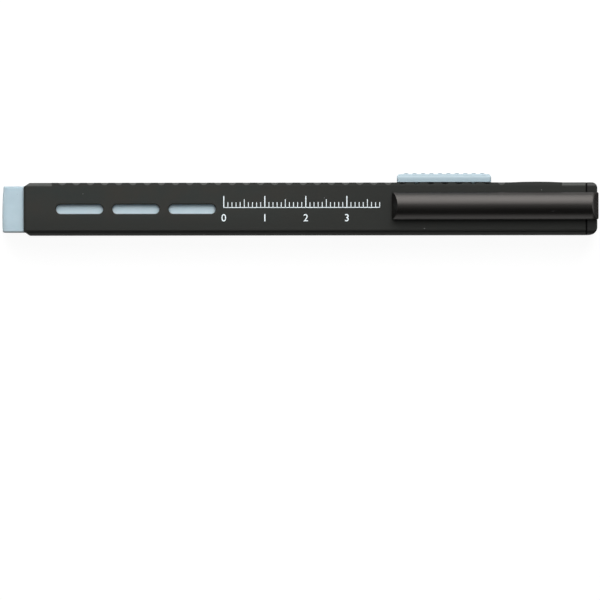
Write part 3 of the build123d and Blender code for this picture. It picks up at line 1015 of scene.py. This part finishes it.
@dataclass
class Slider:
    """Button, carrier, click spring and the soft eraser.

    Attributes:
        button: The button's finish: painted light towards its ribs, painted shade on their tops.
        carrier: The carrier's finish.
        leaf: The click spring's finish.
        eraser: The eraser.
    """

    button: MouldedPlastic = MouldedPlastic(
        "button_blue_grey",
        (0.33, 0.425, 0.475),
        (0.345, 0.44, 0.49),
        0.4,
        grain_mm=0.15,
        grain_height_mm=0.004,
        zones=(
            # Painted light: paler towards the +Y side, where the lamps fall.
            Zone("Y", 7.2, 8.0, 0.45, (0.5, 0.61, 0.665)),
            # Painted shade: darker on the rib tops, to tame their light.
            Zone("Y", 8.0, 8.3, 0.6, (0.31, 0.39, 0.43)),
        ),
    )
    carrier: MouldedPlastic = MouldedPlastic(
        "carrier_black", (0.02, 0.02, 0.02), (0.024, 0.024, 0.024), 0.5
    )
    leaf: MouldedPlastic = MouldedPlastic(
        "leaf_blue_grey", (0.3, 0.4, 0.45), (0.32, 0.42, 0.47), 0.42, grain_height_mm=0.003
    )
    eraser: SoftEraser = field(default_factory=SoftEraser)

    def build(self) -> None:
        """Dresses the CAD nodes of the slide and builds the eraser."""
        dress(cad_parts["slider_button"], self.button.material())
        dress(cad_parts["eraser_carrier"], self.carrier.material())
        dress(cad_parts["click_spring"], self.leaf.material())
        self.eraser.build()


@dataclass(frozen=True)
class SoftPanel:
    """One panel of the studio's soft hood.

    Attributes:
        tilt_deg: Its middle's angle from straight above towards +Y, in degrees.
        radiance: Its brightness, where 1 looks white.
        half_width_deg: Half of its width along X, as an angle from the stick.
    """

    tilt_deg: float
    radiance: float
    half_width_deg: float


@dataclass
class Studio:
    """Pale floor, hood of soft panels, dim even room and the camera straight above.

    Attributes:
        picture_px: Width and height of the photograph.
        middle_px: The frame's origin in the photograph, from its left and its top.
        mm_per_px: Scale of the photograph at the front face.
        camera_height: Height of the camera over the front face.
        sensor_mm: Width of its sensor.
        face_z: Height of the front face.
        turn_deg: Turn of the stick in the photograph.
        floor_radius: Radius of the level floor.
        floor_drop_mm: How far the floor lies below the stick's back, so that they share no plane.
        floor_segments: Sides of the floor's outline.
        wall_height: Height and reach of the swept wall.
        sweep_steps: Steps in the sweep.
        floor_colour: The floor's colour, as it is lit.
        floor_shade: The colour that faint clouds on it lean to.
        floor_cloud_mm: Size of those clouds.
        floor_roughness: Its roughness.
        floor_specular: Its specular level.
        floor_lift: White that is added to the floor where it is seen, straight or mirrored.
        world_level: Brightness of the room.
        hood_radius: Distance of the panels from the stick.
        panel_half_deg: Half of a panel's length along the arc, as an angle.
        panels: The panels.
    """

    picture_px: int = 600
    middle_px: tuple[float, float] = (300.2, 208.9)
    mm_per_px: float = 145.0 / 595.0
    camera_height: float = 1.5
    sensor_mm: float = 36.0
    face_z: float = 0.008
    turn_deg: float = -0.065
    floor_radius: float = 3.0
    floor_drop_mm: float = 0.04
    floor_segments: int = 64
    wall_height: float = 1.3
    sweep_steps: int = 5
    floor_colour: Colour = (0.1, 0.1, 0.1)
    floor_shade: Colour = (0.0985, 0.0985, 0.0985)
    floor_cloud_mm: float = 90.0
    floor_roughness: float = 0.9
    floor_specular: float = 0.1
    floor_lift: float = 0.94
    world_level: float = 0.1
    hood_radius: float = 0.5
    panel_half_deg: float = 9.0
    panels: tuple[SoftPanel, ...] = (
        SoftPanel(-9.0, 0.4, 20.0),
        SoftPanel(9.0, 0.8, 20.0),
        SoftPanel(27.0, 3.8, 22.0),
        SoftPanel(45.0, 5.7, 31.0),
        SoftPanel(63.0, 5.6, 35.0),
        SoftPanel(81.0, 3.2, 35.0),
    )

    def floor(self) -> None:
        """Builds the floor, swept up into a low wall all round: white, with the shadow kept."""
        bm = bmesh.new()
        bmesh.ops.create_circle(
            bm, cap_ends=True, segments=self.floor_segments, radius=self.floor_radius
        )
        rim = [edge for edge in bm.edges if edge.is_boundary]
        step = math.pi / 2 / self.sweep_steps
        for number in range(self.sweep_steps):
            tilt = (number + 0.5) * step
            made = bmesh.ops.extrude_edge_only(bm, edges=rim)["geom"]
            rise = self.wall_height * step * math.sin(tilt)
            run = 1.0 + self.wall_height * step * math.cos(tilt) / self.floor_radius
            verts = [item for item in made if isinstance(item, bmesh.types.BMVert)]
            bmesh.ops.scale(bm, verts=verts, vec=(run, run, 1.0))
            bmesh.ops.translate(bm, verts=verts, vec=(0.0, 0.0, rise))
            rim = [item for item in made if isinstance(item, bmesh.types.BMEdge)]
        bmesh.ops.translate(bm, verts=bm.verts, vec=(0.0, 0.0, -self.floor_drop_mm * MM))
        floor = piece_from(bm, "studio_floor")
        material, tree, shader = new_material("pale_floor")
        clouds = object_noise(tree, self.floor_cloud_mm, GRAIN_DETAIL)
        cloud = ramp_range(tree, clouds, MIDDLE, WHOLE)
        colour = mixed_colour(tree, cloud, self.floor_colour, self.floor_shade)
        tree.links.new(colour, shader.inputs["Base Color"])
        shader.inputs["Roughness"].default_value = self.floor_roughness
        shader.inputs["Specular IOR Level"].default_value = self.floor_specular
        lift = ramp_range(tree, seen_ray(tree), WHOLE, (0.0, self.floor_lift))
        shader.inputs["Emission Color"].default_value = (1.0, 1.0, 1.0, 1.0)
        tree.links.new(lift, shader.inputs["Emission Strength"])
        floor.data.materials.append(material)

    def world(self) -> None:
        """Sets the even, dim light of the room."""
        world = bpy.data.worlds.new("studio_world")
        bpy.context.scene.world = world
        world.use_nodes = True
        tree = world.node_tree
        tree.nodes.clear()
        output = tree.nodes.new("ShaderNodeOutputWorld")
        background = tree.nodes.new("ShaderNodeBackground")
        background.inputs["Color"].default_value = (1.0, 1.0, 1.0, 1.0)
        background.inputs["Strength"].default_value = self.world_level
        tree.links.new(background.outputs["Background"], output.inputs["Surface"])

    def hood(self) -> None:
        """Hangs the soft panels on an arc, from just past straight above down to the +Y side."""
        height = 2.0 * self.hood_radius * math.tan(math.radians(self.panel_half_deg))
        for number, panel in enumerate(self.panels):
            width = 2.0 * self.hood_radius * math.tan(math.radians(panel.half_width_deg))
            light = bpy.data.lights.new(f"panel_{number}", "AREA")
            light.shape = "RECTANGLE"
            light.size, light.size_y = width, height
            light.energy = panel.radiance * math.pi * width * height
            lamp = bpy.data.objects.new(f"panel_{number}", light)
            turn = Matrix.Rotation(-math.radians(panel.tilt_deg), 4, "X")
            lamp.matrix_world = turn @ Matrix.Translation((0.0, 0.0, self.hood_radius))
            lamp.visible_camera = False
            bpy.context.scene.collection.objects.link(lamp)

    def camera(self) -> None:
        """Looks straight down, framed as the photograph is."""
        data = bpy.data.cameras.new("camera")
        data.sensor_width = self.sensor_mm
        width_mm = self.picture_px * self.mm_per_px
        data.lens = self.sensor_mm * self.camera_height / MM / width_mm
        camera = bpy.data.objects.new("camera", data)
        half = self.picture_px / 2
        camera.location = (
            (half - self.middle_px[0]) * self.mm_per_px * MM,
            (self.middle_px[1] - half) * self.mm_per_px * MM,
            self.face_z + self.camera_height,
        )
        camera.rotation_euler = (0.0, 0.0, math.radians(self.turn_deg))
        bpy.context.scene.collection.objects.link(camera)
        bpy.context.scene.camera = camera

    def build(self) -> None:
        """Builds the whole studio."""
        self.camera()
        self.floor()
        self.world()
        self.hood()
        bpy.context.scene.view_settings.view_transform = "Standard"


def main() -> None:
    """Builds the studio and every part of the stick, in order."""
    logging.basicConfig(level=logging.INFO)
    for part in (Studio(), Holder(), Slider()):
        part.build()
        LOG.info("built %s", type(part).__name__)


if __name__ == "__main__":
    main()
